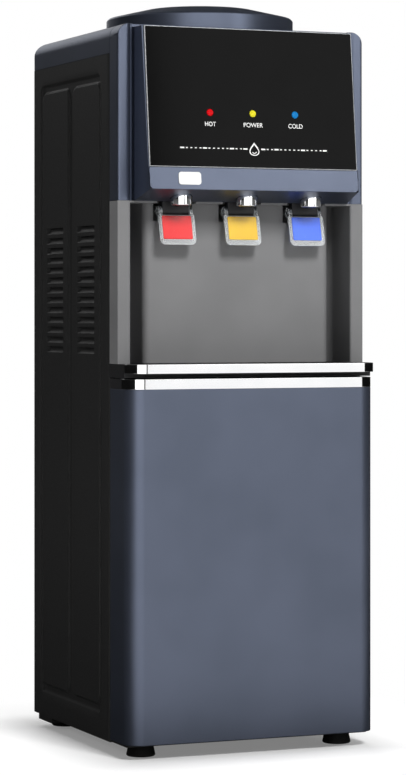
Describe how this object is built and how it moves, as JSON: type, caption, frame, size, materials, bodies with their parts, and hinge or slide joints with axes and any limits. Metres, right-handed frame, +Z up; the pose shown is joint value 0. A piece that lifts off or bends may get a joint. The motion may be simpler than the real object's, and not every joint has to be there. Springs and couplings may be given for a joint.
{
  "type": "water dispenser",
  "caption": "Free-standing bottle-top water dispenser with push-back paddle taps in a niche, pull-out drip tray, hinged storage door, louvred steel sides and a thermoelectric cold tank.",
  "frame": {"origin": "on the floor under the middle of the overall box", "axes": "+Z up, -Y towards the front with the taps, +X to the right of someone facing the front"},
  "size_m": [0.36, 0.382, 1.008],
  "materials": {
    "slate_plastic": "satin moulded",
    "black_painted_steel": "fine texture",
    "grey_plastic": "fine texture",
    "dark_plastic": "moulded",
    "black_plastic": "moulded",
    "chrome_plate": "mirror",
    "stainless_steel": "drawn",
    "zinc_steel": "plated",
    "aluminium": "extruded",
    "white_plastic": "food grade moulded",
    "clear_plastic": "polished",
    "red_plastic": "gloss",
    "yellow_plastic": "gloss",
    "blue_plastic": "gloss",
    "red_lens": "gloss",
    "yellow_lens": "gloss",
    "blue_lens": "gloss",
    "black_glass": "polished",
    "badge_white": "gloss",
    "foot_rubber": "moulded",
    "foam": "foamed",
    "circuit_board": "satin",
    "silicone": "smooth"
  },
  "bodies": {
    "cabinet": {"base_pan": "black_painted_steel", "feet": "foot_rubber", "left_side_panel": "black_painted_steel", "right_side_panel": "black_painted_steel", "rear_panel": "black_painted_steel", "panel_screws": "zinc_steel", "top_cover": "slate_plastic", "bottle_collar": "slate_plastic", "head_housing": "slate_plastic", "control_glass": "black_glass", "lamp_red": "red_lens", "lamp_yellow": "yellow_lens", "lamp_blue": "blue_lens", "badge": "badge_white", "lamp_board": "circuit_board", "niche_panel": "grey_plastic", "hot_tap_body": "dark_plastic", "room_tap_body": "dark_plastic", "cold_tap_body": "dark_plastic", "hot_spout": "chrome_plate", "room_spout": "chrome_plate", "cold_spout": "chrome_plate", "lever_pins": "stainless_steel", "tray_deck": "dark_plastic", "hinge_pins": "zinc_steel", "cabinet_liner": "grey_plastic", "mid_shelf": "zinc_steel", "tank_shelf": "zinc_steel", "cold_tank": "stainless_steel", "tank_insulation": "foam", "hot_tank": "stainless_steel", "heater_band": "black_plastic", "cooling_module": "aluminium", "heat_sink": "aluminium", "fan_frame": "black_plastic", "water_tubes": "silicone", "power_board": "circuit_board", "power_inlet": "black_plastic"},
    "door": {"door_shell": "slate_plastic", "door_liner": "grey_plastic", "door_rail": "dark_plastic", "door_trim": "chrome_plate"},
    "tray": {"drip_tray": "dark_plastic", "tray_trim": "chrome_plate"},
    "grille": {"drip_grille": "black_plastic"},
    "funnel": {"bottle_funnel": "white_plastic", "bottle_spike": "white_plastic"},
    "fan": {"fan_rotor": "black_plastic"},
    "plug": {"drain_plug": "foot_rubber"},
    "hot_rocker": {"hot_switch": "black_plastic"},
    "cold_rocker": {"cold_switch": "black_plastic"},
    "hot_paddle": {"hot_lever": "clear_plastic", "hot_lever_plate": "red_plastic"},
    "hot_stem": {"hot_valve_stem": "white_plastic"},
    "room_paddle": {"room_lever": "clear_plastic", "room_lever_plate": "yellow_plastic"},
    "room_stem": {"room_valve_stem": "white_plastic"},
    "cold_paddle": {"cold_lever": "clear_plastic", "cold_lever_plate": "blue_plastic"},
    "cold_stem": {"cold_valve_stem": "white_plastic"}
  },
  "joints": [
    {"name": "door_hinge", "type": "hinge", "parent": "cabinet", "child": "door", "pos_m": [0.168, -0.151, 0.25], "axis": [0, 0, 1], "range_deg": [0, 105]},
    {"name": "tray_slide", "type": "slide", "parent": "cabinet", "child": "tray", "axis": [0, -1, 0], "range_m": [0, 0.09]},
    {"name": "grille_lift", "type": "slide", "parent": "tray", "child": "grille", "axis": [0, 0, 1], "range_m": [0, 0.03]},
    {"name": "funnel_lift", "type": "slide", "parent": "cabinet", "child": "funnel", "axis": [0, 0, 1], "range_m": [0, 0.09]},
    {"name": "fan_spin", "type": "hinge", "parent": "cabinet", "child": "fan", "pos_m": [0, 0.167, 0.804], "axis": [0, 1, 0], "continuous": true},
    {"name": "plug_pull", "type": "slide", "parent": "cabinet", "child": "plug", "axis": [0, 1, 0], "range_m": [0, 0.02]},
    {"name": "hot_rocker_tilt", "type": "hinge", "parent": "cabinet", "child": "hot_rocker", "pos_m": [0.12, 0.173, 0.6055], "axis": [1, 0, 0], "range_deg": [-8, 8]},
    {"name": "cold_rocker_tilt", "type": "hinge", "parent": "cabinet", "child": "cold_rocker", "pos_m": [0.12, 0.173, 0.6405], "axis": [1, 0, 0], "range_deg": [-8, 8]},
    {"name": "hot_paddle_push", "type": "hinge", "parent": "cabinet", "child": "hot_paddle", "pos_m": [-0.095, -0.1305, 0.724], "axis": [1, 0, 0], "range_deg": [0, 14], "stiffness_Nm_per_rad": 0.15, "springref_deg": -14.32},
    {"name": "hot_stem_lift", "type": "slide", "parent": "cabinet", "child": "hot_stem", "axis": [0, 0, 1], "range_m": [0, 0.0026], "stiffness_N_per_m": 0.5, "springref_m": 0.016},
    {"name": "room_paddle_push", "type": "hinge", "parent": "cabinet", "child": "room_paddle", "pos_m": [0, -0.1305, 0.724], "axis": [1, 0, 0], "range_deg": [0, 14], "stiffness_Nm_per_rad": 0.15, "springref_deg": -14.32},
    {"name": "room_stem_lift", "type": "slide", "parent": "cabinet", "child": "room_stem", "axis": [0, 0, 1], "range_m": [0, 0.0026], "stiffness_N_per_m": 0.5, "springref_m": 0.016},
    {"name": "cold_paddle_push", "type": "hinge", "parent": "cabinet", "child": "cold_paddle", "pos_m": [0.095, -0.1305, 0.724], "axis": [1, 0, 0], "range_deg": [0, 14], "stiffness_Nm_per_rad": 0.15, "springref_deg": -14.32},
    {"name": "cold_stem_lift", "type": "slide", "parent": "cabinet", "child": "cold_stem", "axis": [0, 0, 1], "range_m": [0, 0.0026], "stiffness_N_per_m": 0.5, "springref_m": 0.016}
  ],
  "couplings": [
    {"joint": "hot_stem_lift", "follows": "hot_paddle_push", "m_per_rad": 0.01},
    {"joint": "room_stem_lift", "follows": "room_paddle_push", "m_per_rad": 0.01},
    {"joint": "cold_stem_lift", "follows": "cold_paddle_push", "m_per_rad": 0.01}
  ]
}
